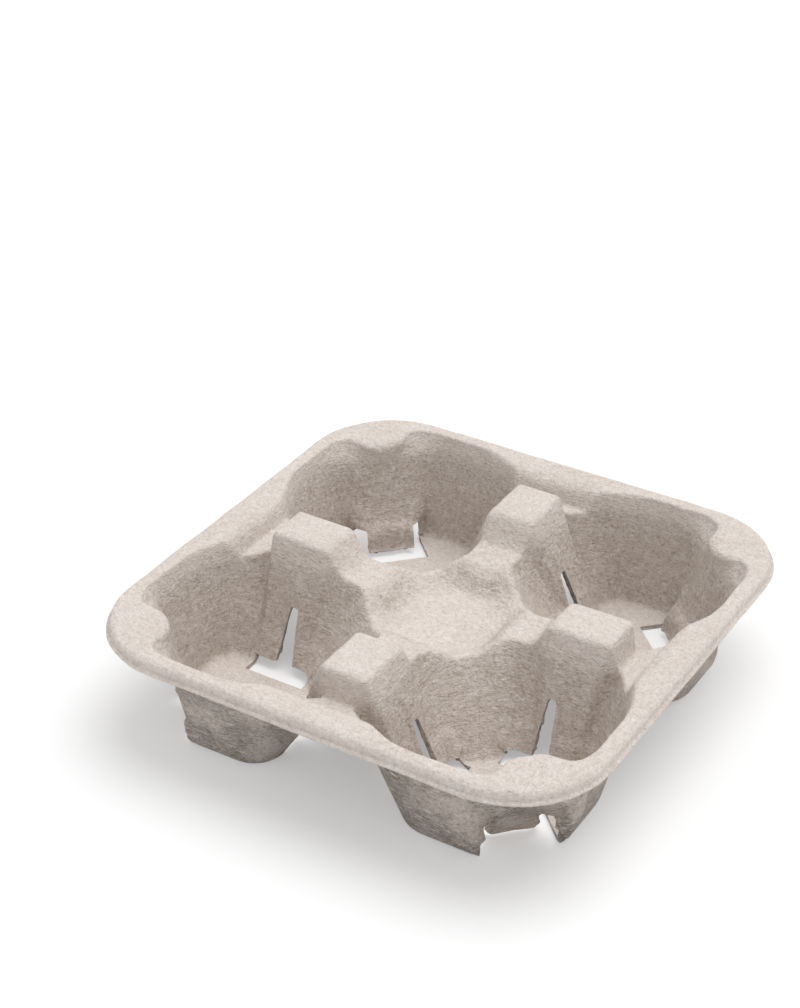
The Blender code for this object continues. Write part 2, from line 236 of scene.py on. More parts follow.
class CarrierSizes(PropertyGroup):
    """Main sizes of the carrier."""

    half_width: FloatProperty(
        name="Half width", description="Middle of the tray to the rolled edge", default=HIGH.x, unit="LENGTH"
    )
    corner_radius: FloatProperty(
        name="Corner radius", description="Radius of the rim's corners", default=38.0 * MM, unit="LENGTH"
    )
    rim_height: FloatProperty(
        name="Rim height", description="Ground to the top of the rim", default=48.0 * MM, unit="LENGTH"
    )
    sheet: FloatProperty(name="Sheet", description="Thickness of the pulp", default=2.0 * MM, unit="LENGTH")
    deck_width: FloatProperty(
        name="Deck width", description="Edge of a well to the rolled edge", default=7.0 * MM, unit="LENGTH"
    )
    post_height: FloatProperty(
        name="Post height", description="Ground to the top of a post", default=HIGH.z, unit="LENGTH"
    )
    post_length: FloatProperty(
        name="Post length", description="Length of a post's top", default=23.5 * MM, unit="LENGTH"
    )
    post_width: FloatProperty(
        name="Post width", description="Width of a post's top", default=19.6 * MM, unit="LENGTH"
    )
    saddle_height: FloatProperty(
        name="Saddle height", description="Ground to the saddle by a post", default=39.5 * MM, unit="LENGTH"
    )
    pad_height: FloatProperty(
        name="Pad height", description="Ground to the pad in the middle", default=28.7 * MM, unit="LENGTH"
    )
    pad_radius: FloatProperty(
        name="Pad radius", description="Middle to the pad's edge, slantwise", default=19.5 * MM, unit="LENGTH"
    )
    crest_height: FloatProperty(
        name="Crest height", description="Ground to the crest round the pad", default=34.2 * MM, unit="LENGTH"
    )
    crest_radius: FloatProperty(
        name="Crest radius", description="Middle to the crest on a diagonal", default=29.6 * MM, unit="LENGTH"
    )
    shelf_height: FloatProperty(
        name="Shelf height", description="Ground to the shelf before a post", default=39.0 * MM, unit="LENGTH"
    )


class PulpLook(PropertyGroup):
    """Colours and grain of the pulp."""

    colour: FloatVectorProperty(
        name="Pulp", description="Main colour", subtype="COLOR", size=3, default=(0.74, 0.67, 0.62)
    )
    # The dark colour is also used for painted shade: the steep walls of the wells are mixed towards it.
    dark: FloatVectorProperty(
        name="Dark", description="Colour of dark fibres", subtype="COLOR", size=3, default=(0.36, 0.29, 0.235)
    )
    light: FloatVectorProperty(
        name="Light", description="Colour of pale fibres", subtype="COLOR", size=3, default=(0.86, 0.81, 0.77)
    )
    roughness: FloatProperty(
        name="Roughness", description="How dull the pulp is", default=0.92, min=0.0, max=1.0
    )
    loose_fibres: IntProperty(
        name="Loose fibres", description="Number of fibres that lie on the surface", default=2600, min=0
    )
    fibre_length: FloatProperty(
        name="Fibre length", description="Length of a loose fibre", default=3.2 * MM, unit="LENGTH"
    )
    fibre_width: FloatProperty(
        name="Fibre width", description="Thickness of a loose fibre", default=0.13 * MM, unit="LENGTH"
    )
    seed: IntProperty(name="Seed", description="Seed of everything random", default=7)


class StageLook(PropertyGroup):
    """Floor and light."""

    floor_size: FloatProperty(name="Floor size", description="Width of the floor", default=8.0, unit="LENGTH")
    floor_colour: FloatVectorProperty(
        name="Floor", description="Colour of the floor", subtype="COLOR", size=3, default=(0.95, 0.95, 0.95)
    )
    floor_glow: FloatProperty(
        name="Floor glow", description="Share of white that the camera sees in the floor's shadows",
        default=0.33, min=0.0, max=1.0,
    )
    sky: FloatProperty(name="Sky", description="Strength of the even light", default=0.66, min=0.0)
    lamp: FloatProperty(name="Lamp", description="Strength of the overhead light", default=1.7, min=0.0)


def between(first, second, share):
    return tuple(a + (b - a) * share for a, b in zip(first, second))


def on_diagonal(radius, side=0.0):
    """The point this far out along the diagonal, and this far from it towards the u axis."""
    return (radius + side) / math.sqrt(2), (radius - side) / math.sqrt(2)


def soft_step(value):
    """0 below 0 and 1 above 1, with a smooth rise between."""
    value = min(max(value, 0.0), 1.0)
    return value * value * (3 - 2 * value)


class Layout:
    """Places in one eighth of the tray: u runs along a post, v across it, and u = v is the diagonal."""

    def __init__(self, sizes):
        self.opening = sizes.half_width - sizes.deck_width
        self.rim = sizes.half_width - LIP_RADIUS - LIP_FLARE
        self.corner_centre = sizes.half_width - sizes.corner_radius
        self.step_top = sizes.half_width - DECK_WIDTH_AT_SADDLE
        self.step_foot = self.step_top - STEP_RUN
        self.saddle_start = self.step_foot - SADDLE_LENGTH
        self.post_outer = self.saddle_start - POST_OUTER_RUN
        self.post_inner = self.post_outer - sizes.post_length
        self.slit = self.post_inner + POST_SLIT_FROM_END
        self.floor_rim_side = self.opening - WALL_RUN
        corner = math.sqrt(2) * self.corner_centre + sizes.corner_radius - sizes.deck_width
        self.nose_top = corner - NOSE_DEPTH
        self.nose_floor = self.nose_top - NOSE_RUN

    def floor_chamfer(self, share):
        """The floor's edge on the side that faces the island, from the diagonal outwards."""
        outer = (math.sqrt(2) * FLOOR_INNER_RADIUS - FLOOR_RIDGE_SIDE, FLOOR_RIDGE_SIDE)
        return between(on_diagonal(FLOOR_INNER_RADIUS), outer, share)

    def floor_corner(self, angle):
        """The floor's edge on the rounded corner between the ridge side and the rim side."""
        turn = math.radians(angle)
        return (
            self.floor_rim_side - FOOT_RADIUS * (1 - math.sin(turn)),
            FLOOR_RIDGE_SIDE + FOOT_RADIUS * (1 - math.cos(turn)),
        )

    def floor_by_ridge(self, share):
        """The floor's edge on the straight side along the ridge."""
        return between(self.floor_chamfer(1.0), self.floor_corner(0.0), share)

    def nose_pocket(self):
        """The tip of the floor's pocket between the nose and the rim side."""
        return on_diagonal(self.nose_floor + NOSE_POCKET_DEPTH, NOSE_FLOOR_WIDTH / 2 + NOSE_POCKET_SIDE)

    def floor_by_rim(self, share):
        """The floor's edge on the straight side along the rim."""
        end = (self.floor_rim_side, self.nose_pocket()[1] - NOSE_POCKET_ROUNDING)
        return between(self.floor_corner(90.0), end, share)


def station(
    floor, edge, via, end, edge_radius=EDGE_RADIUS, angle=0.0, foot_radius=FLOOR_BEND_RADIUS, panel=None
):
    """One profile as a row: its control points, bends, rim angle, and its panel's height and inset."""
    crease, inset = (PANEL_TOP, 0.0) if panel is None else (panel, PANEL_INSET)
    return [*floor, *edge, *via, *end, edge_radius, angle, foot_radius, crease, inset]


def island_stations(sizes, layout):
    """From the diagonal of the island to the shelf in front of a post."""
    step_foot = SHELF_INNER - SHELF_STEP_RUN
    step_side = SHELF_STEP_WIDTH / 2
    low = sizes.pad_height
    pad = (*on_diagonal(sizes.pad_radius), low)
    pocket = (step_foot + POCKET_ROUNDING, step_side + POCKET_ROUNDING, low + POCKET_ROUNDING)
    crest = (*on_diagonal(sizes.crest_radius), sizes.crest_height)
    crest_end = (*on_diagonal(sizes.crest_radius + CREST_BOW, CREST_FLAT / 2), sizes.crest_height)
    shelf_length = layout.post_inner - POST_INNER_RUN - SHELF_INNER

    def on_shelf(share, half, height):
        return SHELF_INNER + shelf_length * share, half, sizes.shelf_height + height

    shelf_corner = on_shelf(0.13, SHELF_WIDTH / 2 + SHELF_FLARE, -SHELF_DIP / 4)
    shelf_edge = on_shelf(0.33, SHELF_WIDTH / 2 + SHELF_FLARE / 4, SHELF_RISE / 4)
    shelf_middle = on_shelf(0.57, SHELF_WIDTH / 2, SHELF_RISE / 2)
    return [
        station(layout.floor_chamfer(0.0), crest, pad, (0.0, 0.0, low)),
        station(
            layout.floor_chamfer(0.3), crest_end, between(pad, pocket, 0.35),
            (step_foot * 0.35, 0.0, low),
        ),
        station(
            layout.floor_chamfer(0.65), between(crest_end, shelf_corner, 0.4), between(pad, pocket, 0.7),
            (step_foot * 0.7, 0.0, low),
        ),
        station(layout.floor_chamfer(0.87), shelf_corner, pocket, (step_foot, 0.0, low)),
        station(
            layout.floor_by_ridge(0.07), shelf_edge, on_shelf(0.03, step_side, -SHELF_DIP / 2),
            on_shelf(0.0, 0.0, -SHELF_DIP),
        ),
        station(
            layout.floor_by_ridge(0.17), shelf_middle, on_shelf(0.47, step_side, 0.0),
            on_shelf(0.47, 0.0, -SHELF_DIP / 4),
        ),
    ]


def post_stations(sizes, layout):
    """Up a post's inner end, along its top and down to the saddle."""

    def across(floor_share, u, width, height):
        floor = layout.floor_by_ridge(floor_share)
        return station(floor, (u, width / 2, height), (u, width / 4, height), (u, 0.0, height))

    inner, outer = layout.post_inner, layout.post_outer
    return [
        across(0.23, inner - POST_INNER_RUN, SHELF_WIDTH, sizes.shelf_height + SHELF_RISE),
        across(0.34, inner, sizes.post_width, sizes.post_height),
        across(0.54, (inner + outer) / 2, sizes.post_width, sizes.post_height),
        across(0.77, outer, sizes.post_width, sizes.post_height),
        across(0.94, layout.saddle_start, SADDLE_WIDTH, sizes.saddle_height),
    ]


def saddle_stations(sizes, layout):
    """Along the saddle's ledge and up its step."""

    def ledge(angle, u, v, height):
        return station(layout.floor_corner(angle), (u, v, height), (u, v / 2, height), (u, 0.0, height))

    middle = (layout.saddle_start + layout.step_foot) / 2
    step_corner = LEDGE_WIDTH / 2 + STEP_CORNER
    return [
        ledge(10.0, middle, (SADDLE_WIDTH + LEDGE_WIDTH) / 4, sizes.saddle_height),
        ledge(35.0, layout.step_foot, LEDGE_WIDTH / 2, sizes.saddle_height),
        ledge(55.0, layout.step_top, step_corner, sizes.rim_height - STEP_ROUNDING),
    ]


def rim_stations(sizes, layout):
    """Along the rim, where the deck narrows and then runs straight to the corner."""
    sweep_start = LEDGE_WIDTH / 2 + STEP_CORNER
    sweep_end = sweep_start + DECK_SWEEP_LENGTH
    z = sizes.rim_height

    def across(floor, u, v, end):
        via = ((u + layout.rim) / 2, (v + end) / 2, z)
        return station(floor, (u, v, z), via, (layout.rim, end, z))

    def in_sweep(floor, share, end_share):
        u = layout.step_top + (layout.opening - layout.step_top) * math.sin(math.pi / 2 * share)
        return across(floor, u, sweep_start + DECK_SWEEP_LENGTH * share, sweep_end * end_share)

    def straight(floor_share, share):
        v = sweep_end + (layout.corner_centre - sweep_end) * share
        return across(layout.floor_by_rim(floor_share), layout.opening, v, v)

    return [
        in_sweep(layout.floor_corner(72.0), 0.13, 0.0),
        in_sweep(layout.floor_corner(90.0), 0.33, 0.3),
        in_sweep(layout.floor_by_rim(0.31), 0.6, 0.6),
        straight(0.54, 0.0),
        straight(0.78, 0.4),
        straight(1.0, 0.8),
    ]


def nose_stations(sizes, layout):
    """Around the nose to the tray's diagonal."""
    pocket = layout.nose_pocket()
    tongue = on_diagonal(layout.nose_floor)
    tongue_side = on_diagonal(layout.nose_floor + NOSE_FLOOR_BOW, NOSE_FLOOR_WIDTH / 2)
    tip_side = NOSE_TIP_WIDTH / 2
    centre = layout.corner_centre
    reach = layout.rim - centre

    def flank(share):
        """The opening's edge, which waves from the flat tip's end, at a share of 0, to the valley, at 1."""
        wave = (1 - math.cos(math.pi * share)) / 2
        side = tip_side + (NOSE_VALLEY_SIDE - tip_side) * share
        return on_diagonal(layout.nose_top + NOSE_VALLEY_DEPTH * wave, side)

    def towards(floor, place, angle, radius, foot_radius, panel=None):
        edge = (*place, sizes.rim_height)
        turn = math.radians(angle)
        end = (centre + reach * math.cos(turn), centre + reach * math.sin(turn), sizes.rim_height)
        return station(floor, edge, between(edge, end, 0.5), end, radius, angle, foot_radius, panel)

    valley_bend = between((layout.opening, centre), flank(1.0), 0.3)
    into_pocket = between(layout.floor_by_rim(1.0), pocket, 0.75)
    small, full = POCKET_BEND_RADIUS, FLOOR_BEND_RADIUS
    return [
        towards(into_pocket, valley_bend, 4.0, EDGE_RADIUS, small),
        towards(pocket, flank(1.0), 13.0, EDGE_RADIUS, small),
        towards(between(pocket, tongue_side, 0.5), flank(0.67), 22.0, NOSE_EDGE_RADIUS, small),
        towards(tongue_side, flank(0.36), 31.0, NOSE_EDGE_RADIUS, full, PANEL_SHOULDER),
        towards(between(tongue_side, tongue, 0.5), flank(0.0), 38.0, NOSE_EDGE_RADIUS, full, PANEL_MIDDLE),
        towards(tongue, on_diagonal(layout.nose_top), 45.0, NOSE_EDGE_RADIUS, full, PANEL_TOP),
    ]


def eased_rows(keys, rows, at):
    """Rows between the stations' rows, on cubic curves that never overshoot them."""
    steps = np.diff(keys)[:, None]
    slopes = np.diff(rows, axis=0) / steps
    same = slopes[:-1] * slopes[1:] > 0
    total = np.where(same, slopes[:-1] + slopes[1:], 1.0)
    inner = np.where(same, 2 * slopes[:-1] * slopes[1:] / total, 0.0)
    tangents = np.vstack([slopes[:1], inner, slopes[-1:]])
    low = np.clip(np.searchsorted(keys, at, side="right") - 1, 0, len(keys) - 2)
    step = steps[low]
    t = (at[:, None] - keys[low][:, None]) / step
    start, finish = rows[low], rows[low + 1]
    return (
        (1 + 2 * t) * (1 - t) ** 2 * start
        + t * (1 - t) ** 2 * step * tangents[low]
        + t**2 * (3 - 2 * t) * finish
        + t**2 * (t - 1) * step * tangents[low + 1]
    )


def bend(start, corner, finish, radius, count):
    """Rings of a round bend that replaces a corner, from the start's side to the finish's side."""
    back, onward = start - corner, finish - corner
    back_length = np.linalg.norm(back, axis=1, keepdims=True)
    onward_length = np.linalg.norm(onward, axis=1, keepdims=True)
    back, onward = back / back_length, onward / onward_length
    cosine = np.clip((back * onward).sum(axis=1, keepdims=True), -1.0, 1.0)
    reach = radius / np.maximum(np.tan(np.arccos(cosine) / 2), 1e-6)
    reach = np.minimum(reach, BEND_SHARE * np.minimum(back_length, onward_length))
    rings = []
    for step in range(count + 1):
        share = step / count
        first = corner + back * reach * (1 - share)
        second = corner + onward * reach * share
        rings.append(first + (second - first) * share)
    return rings


def run(start, finish, count):
    """Rings from just after the start to just before the finish."""
    return [start + (finish - start) * step / count for step in range(1, count)]


def wall_rings(start, finish, crease, inset):
    """Rings up the wall, with a step inwards below the crease where the inset isn't 0."""
    rise = finish[:, 2:3] - start[:, 2:3]
    below = start + (finish - start) * (crease - PANEL_STEP / 2 - start[:, 2:3]) / rise
    above = start + (finish - start) * (crease + PANEL_STEP / 2 - start[:, 2:3]) / rise
    inwards = -np.array((*on_diagonal(1.0), 0.0)) * inset
    low = run(start + inwards / 2, below + inwards, LOW_WALL_RINGS)
    return [*low, below + inwards, above, *run(above, finish, HIGH_WALL_RINGS)]


def column_places(keys):
    """Places of the columns between the stations, about one spacing apart."""
    at = []
    for start, finish in zip(keys[:-1], keys[1:]):
        count = max(2, round((finish - start) / COLUMN_SPACING))
        at.extend(start + (finish - start) * np.arange(count) / count)
    return np.array(at + [keys[-1]])


def blended_corner(rings, first):
    """Evens out the wall round a nose between its foot and its top, from one column to the diagonal."""
    part = rings[:, first:]
    height = part[:, :, 2:3]
    weight = np.clip((height - BLEND_FROM) / BLEND_RISE, 0, 1)
    weight = weight * np.clip((BLEND_TO - height) / BLEND_RISE, 0, 1)
    for _ in range(BLEND_ROUNDS):
        before = np.concatenate([part[:, :1], part[:, :-1]], axis=1)
        after = np.concatenate([part[:, 1:], part[:, -2:-1][:, :, (1, 0, 2)]], axis=1)
        part = part + 0.5 * weight * ((before + after) / 2 - part)
    return np.concatenate([rings[:, :first], part], axis=1)


def lip_grid(rim, angle):
    """The rolled edge: a quarter round, a short drop and a thin flange along the trimmed edge."""
    outward = np.hstack([np.cos(angle), np.sin(angle), 0 * angle])
    up = np.array((0.0, 0.0, 1.0))
    rings = [rim]
    for step in range(1, LIP_RINGS + 1):
        roll = math.pi / 2 * step / LIP_RINGS
        rings.append(rim + LIP_RADIUS * (outward * math.sin(roll) - up * (1 - math.cos(roll))))
    for flares, drop in LIP_PROFILE:
        rings.append(rim + (LIP_RADIUS + LIP_FLARE * flares) * outward - LIP_DROP * drop * up)
    return np.array(rings)


def eighth_grids(sizes):
    """Grids of points over one eighth: the sheet up to the rim, and the rolled edge beyond it."""
    layout = Layout(sizes)
    makers = (island_stations, post_stations, saddle_stations)
    inner = [row for make in makers for row in make(sizes, layout)]
    rows = np.array(inner + rim_stations(sizes, layout) + nose_stations(sizes, layout))
    floor_steps = np.linalg.norm(np.diff(rows[:, 0:2], axis=0), axis=1)
    edge_steps = np.linalg.norm(np.diff(rows[:, 2:5], axis=0), axis=1)
    keys = np.concatenate([[0.0], np.cumsum(np.maximum(edge_steps, floor_steps))])
    at = column_places(keys)
    columns = eased_rows(keys, rows, at)
    first_on_rim = int(np.argmin(abs(at - keys[len(inner)])))
    sheet_z = np.full((len(at), 1), sizes.sheet)
    floor = np.hstack([columns[:, 0:2], sheet_z])
    edge, via, end = columns[:, 2:5], columns[:, 5:8], columns[:, 8:11]
    edge_radius, angle, foot_radius, crease, inset = (columns[:, n : n + 1] for n in range(11, 16))
    centre = (FLOOR_INNER_RADIUS + layout.nose_floor) / 2 / math.sqrt(2)
    turn = np.radians(-135.0 + 180.0 * at / at[-1])[:, None]
    middle = np.hstack([np.full((len(at), 2), centre), sheet_z])
    core = middle + CORE_RADIUS * np.hstack([np.cos(turn), np.sin(turn), 0 * turn])
    foot = bend(core, floor, edge, foot_radius, BEND_RINGS)
    shoulder = bend(floor, edge, via, edge_radius, EDGE_RINGS)
    rings = [middle, *run(middle, core, CORE_RINGS), core, *run(core, foot[0], FLOOR_RINGS), *foot]
    rings += [*wall_rings(foot[-1], shoulder[0], crease, inset), *shoulder]
    rings += [*run(shoulder[-1], via, VIA_RINGS), via, *run(via, end, DECK_RINGS), end]
    corner = int(np.argmin(abs(at - keys[-BLEND_STATIONS])))
    lip = lip_grid(end[first_on_rim:], np.radians(angle[first_on_rim:]))
    return blended_corner(np.array(rings), corner), lip


def add_grid(form, grid):
    """Quads between the points of a grid."""
    made = [[form.verts.new(point) for point in ring] for ring in grid]
    for low, high in zip(made[:-1], made[1:]):
        for column in range(len(low) - 1):
            form.faces.new((low[column], high[column], high[column + 1], low[column + 1]))


def soften(form, rounds):
    """Smooths one eighth but for its rolled edge, with its borders kept on the planes of the mirror."""
    lowest = min(vert.co.z for vert in form.verts if vert.is_boundary and vert.co.xy.length > HIGH.x)
    inner = [vert for vert in form.verts if vert.co.z < lowest or vert.co.xy.length < DECK_SHARE * HIGH.x]
    centre = min(form.verts, key=lambda vert: vert.co.xy.length)
    on_axis = [vert for vert in form.verts if abs(vert.co.y) < MERGE_DISTANCE]
    diagonal = [vert for vert in form.verts if abs(vert.co.x - vert.co.y) < MERGE_DISTANCE]
    for _ in range(rounds):
        bmesh.ops.smooth_vert(
            form, verts=inner, factor=SMOOTH_SHARE, use_axis_x=True, use_axis_y=True, use_axis_z=True
        )
        for vert in diagonal:
            vert.co.x = vert.co.y = (vert.co.x + vert.co.y) / 2
        for vert in on_axis:
            vert.co.y = 0.0
        centre.co.x = centre.co.y = 0.0


class Slot:
    """A slot's own frame: how far out a point lies, how far across, and how high."""

    def __init__(self, form, out, across):
        self.form, self.out, self.across = form, out, across

    def place(self, point):
        return point.dot(self.out), point.dot(self.across), point.z

    def vector(self, values):
        return self.out * values[0] + self.across * values[1] + Vector((0, 0, values[2]))

    def faces(self, region):
        return [face for face in self.form.faces if region(*self.place(face.calc_center_median()))]

    def press(self, region, mark, direction):
        """Makes a region's mesh finer and moves it along the direction, as far as the mark says."""
        edges = dict.fromkeys(edge for face in self.faces(region) for edge in face.edges)
        bmesh.ops.subdivide_edges(self.form, edges=list(edges), cuts=1, use_grid_fill=True)
        for vert in self.form.verts:
            vert.co += direction * mark(*self.place(vert.co))

    def cut(self, region, planes, is_open):
        """Cuts a region's faces along planes, each a point and a normal, and takes out the open ones."""
        faces = self.faces(region)
        for point, normal in planes:
            edges = dict.fromkeys(edge for face in faces for edge in face.edges)
            verts = dict.fromkeys(vert for face in faces for vert in face.verts)
            cut = bmesh.ops.bisect_plane(
                self.form,
                geom=[*faces, *edges, *verts],
                dist=MERGE_DISTANCE,
                plane_co=self.vector(point),
                plane_no=self.vector(normal),
            )
            faces = [part for part in cut["geom"] if isinstance(part, bmesh.types.BMFace)]
        bmesh.ops.delete(self.form, geom=self.faces(is_open), context="FACES")


def cut_post_slot(form, centre):
    """The mark and the T-shaped slot beside a post. Out is u, across is v."""
    slot = Slot(form, Vector((1, 0, 0)), Vector((0, 1, 0)))
    half_gap, gap_end = POST_GAP_LENGTH / 2, FLOOR_RIDGE_SIDE + POST_GAP_DEPTH
    wide, narrow = POST_SLIT_WIDTH / 2, POST_SLIT_WIDTH_TOP / 2
    slope = (wide - narrow) / (POST_SLIT_TOP - POST_GAP_HEIGHT)
    bar_half = POST_MARK_BAR_LENGTH / 2

    def slit_half(z):
        return narrow + slope * (POST_SLIT_TOP - z)

    def near(u, v, z):
        beside = abs(u - centre) < bar_half + MARGIN and z < POST_MARK_TOP + MARGIN
        return beside and POST_CORE < v < gap_end + SMALL_MARGIN

    def mark(u, v, z):
        if not near(u, v, z) or v > FLOOR_RIDGE_SIDE + SMALL_MARGIN:
            return 0.0
        aside = abs(u - centre)
        stem = soft_step((slit_half(z) + POST_MARK_BORDER - aside) / MARK_STEP + 0.5)
        stem *= soft_step((POST_MARK_TOP - z) / MARK_STEP + 0.5)
        bar = soft_step((bar_half - aside) / MARK_STEP + 0.5)
        bar *= soft_step((POST_MARK_BAR_TOP - z) / MARK_STEP + 0.5)
        return POST_MARK_DEPTH * max(stem, bar)

    def by_slot(u, v, z):
        return near(u, v, z) and z < POST_SLIT_TOP + MARGIN

    def is_open(u, v, z):
        aside = abs(u - centre)
        in_gap = aside < half_gap and z < POST_GAP_HEIGHT
        in_slit = aside < slit_half(z) and z < POST_SLIT_TOP
        return (in_gap or in_slit) and POST_CORE < v < gap_end

    planes = [
        ((0, 0, POST_GAP_HEIGHT), (0, 0, 1)),
        ((0, 0, POST_SLIT_TOP), (0, 0, 1)),
        ((0, gap_end, 0), (0, 1, 0)),
    ]
    for side in (1, -1):
        planes.append(((centre + side * half_gap, 0, 0), (side, 0, 0)))
        planes.append(((centre + side * narrow, 0, POST_SLIT_TOP), (side, 0, slope)))
    slot.press(near, mark, slot.across)
    slot.cut(by_slot, planes, is_open)


def cut_nose_slot(form, start):
    """The mark, a slit and half the gap under the tongue of a nose. Out is the diagonal."""
    slot = Slot(form, Vector((1, 1, 0)).normalized(), Vector((1, -1, 0)).normalized())
    half = NOSE_TONGUE_WIDTH / 2
    reach = half + NOSE_SLIT_WIDTH
    middle, mark_half = (half + reach) / 2, NOSE_MARK_WIDTH / 2

    def near(r, s, z):
        return s < reach + WIDE_MARGIN and r > start - MARGIN and z < NOSE_MARK_TOP + SMALL_MARGIN

    def mark(r, s, z):
        if not near(r, s, z) or z < NOSE_GAP_HEIGHT:
            return 0.0
        arch = math.hypot(s - middle, max(z - NOSE_MARK_TOP + mark_half, 0.0))
        return NOSE_MARK_DEPTH * soft_step((mark_half - arch) / MARK_STEP + 0.5)

    def by_slot(r, s, z):
        return near(r, s, z) and z < NOSE_SLIT_TOP + MARGIN

    def is_open(r, s, z):
        in_gap = s < reach and z < NOSE_GAP_HEIGHT
        in_slit = half < s < reach and z < NOSE_SLIT_TOP
        return (in_gap or in_slit) and r > start

    planes = [
        ((0, half, 0), (0, 1, 0)),
        ((0, reach, 0), (0, 1, 0)),
        ((0, 0, NOSE_GAP_HEIGHT), (0, 0, 1)),
        ((0, 0, NOSE_SLIT_TOP), (0, 0, 1)),
        ((start, 0, 0), (1, 0, 0)),
    ]
    slot.press(near, mark, -slot.out)
    slot.cut(by_slot, planes, is_open)


def joined_copies(eighth):
    """Eight mirrored copies of one eighth, joined."""
    eighth.verts.index_update()
    points = np.array([vert.co for vert in eighth.verts])
    faces = [[vert.index for vert in face.verts] for face in eighth.faces]
    form = bmesh.new()
    for order in ((0, 1, 2), (1, 0, 2)):
        for sign_x in (1, -1):
            for sign_y in (1, -1):
                made = [form.verts.new(point) for point in points[:, order] * (sign_x, sign_y, 1)]
                mirrored = (order[0] == 1) != (sign_x * sign_y < 0)
                for face in faces:
                    form.faces.new([made[index] for index in (reversed(face) if mirrored else face)])
    bmesh.ops.remove_doubles(form, verts=form.verts, dist=MERGE_DISTANCE)
    form.normal_update()
    if sum(face.normal.z * face.calc_area() for face in form.faces) < 0:
        bmesh.ops.reverse_faces(form, faces=form.faces)
    return form


def whole_sheet(sizes):
    """The whole tray's upper surface, with its slots."""
    layout = Layout(sizes)
    eighth = bmesh.new()
    for grid in eighth_grids(sizes):
        add_grid(eighth, grid)
    bmesh.ops.remove_doubles(eighth, verts=eighth.verts, dist=MERGE_DISTANCE)
    bmesh.ops.dissolve_degenerate(eighth, edges=eighth.edges, dist=MERGE_DISTANCE)
    soften(eighth, SMOOTH_ROUNDS)
    cut_post_slot(eighth, layout.slit)
    cut_nose_slot(eighth, layout.nose_floor - NOSE_CUT_BEFORE)
    bmesh.ops.remove_doubles(eighth, verts=eighth.verts, dist=SLIVER_DISTANCE)
    form = joined_copies(eighth)
    eighth.free()
    return form


def tear_edges(form, sizes, seed):
    """Moves the points of the cut edges a little and smooths the edges, as pulp tears, but not at the feet."""
    rng = np.random.default_rng(seed)
    low = sizes.rim_height - LIP_RADIUS - LIP_DROP - SMALL_MARGIN
    long_edges = [
        edge for edge in form.edges
        if edge.is_boundary and edge.verts[0].co.z < low and edge.calc_length() > TORN_STEP
    ]
    bmesh.ops.subdivide_edges(form, edges=long_edges, cuts=1)
    border = [vert for vert in form.verts if vert.is_boundary and vert.co.z > FOOT_HEIGHT]
    for vert in border:
        depth = SLOT_TEAR if vert.co.z < low else RIM_TEAR
        vert.co += Vector(rng.uniform(-depth, depth, 3))
    for _ in range(TEAR_ROUNDS):
        moves = []
        for vert in border:
            sides = [edge.other_vert(vert).co for edge in vert.link_edges if edge.is_boundary]
            moves.append(sum(sides, Vector()) / len(sides) - vert.co)
        for vert, move in zip(border, moves):
            vert.co += TEAR_SHARE * move


def make_uneven(form, seed):
    """Long shallow waves over the whole sheet, as pulp dries. The floors stay level."""
    form.normal_update()
    offset = Vector((seed, 2.0 * seed, 3.0 * seed))
    moves = []
    for vert in form.verts:
        height = noise.noise(vert.co / WAVE_LENGTH + offset)
        height += SMALL_WAVE_SHARE * noise.noise(vert.co * SMALL_WAVES / WAVE_LENGTH - offset)
        level = soft_step((vert.co.z - LEVEL_BELOW) / LEVEL_FADE)
        moves.append(vert.normal * height * WAVE_HEIGHT * level)
    for vert, move in zip(form.verts, moves):
        vert.co += move


def mark_steep_for_painted_shade(mesh, top):
    """Stores how steep the sheet is at each point, with the rolled edge and what is above it left out. The
    pulp's colour uses it for painted shade on the walls of the wells.
    """
    normals = np.empty(3 * len(mesh.vertices), dtype=np.float32)
    mesh.vertex_normals.foreach_get("vector", normals)
    places = np.empty(3 * len(mesh.vertices), dtype=np.float32)
    mesh.vertices.foreach_get("co", places)
    slope = np.clip((1.0 - np.abs(normals[2::3])) / STEEP_LEAN, 0.0, 1.0)
    below = np.clip((top - places[2::3]) / STEEP_FADE, 0.0, 1.0)
    layer = mesh.attributes.new(STEEP_SHADE, "FLOAT", "POINT")
    layer.data.foreach_set("value", (slope * below).astype(np.float32))


def linked(name, mesh):
    obj = bpy.data.objects.new(name, mesh)
    bpy.context.scene.collection.objects.link(obj)
    return obj


def applied(obj):
    """The object with its modifiers applied and removed."""
    graph = bpy.context.evaluated_depsgraph_get()
    mesh = bpy.data.meshes.new_from_object(obj.evaluated_get(graph))
    obj.modifiers.clear()
    obj.data = mesh
    return obj


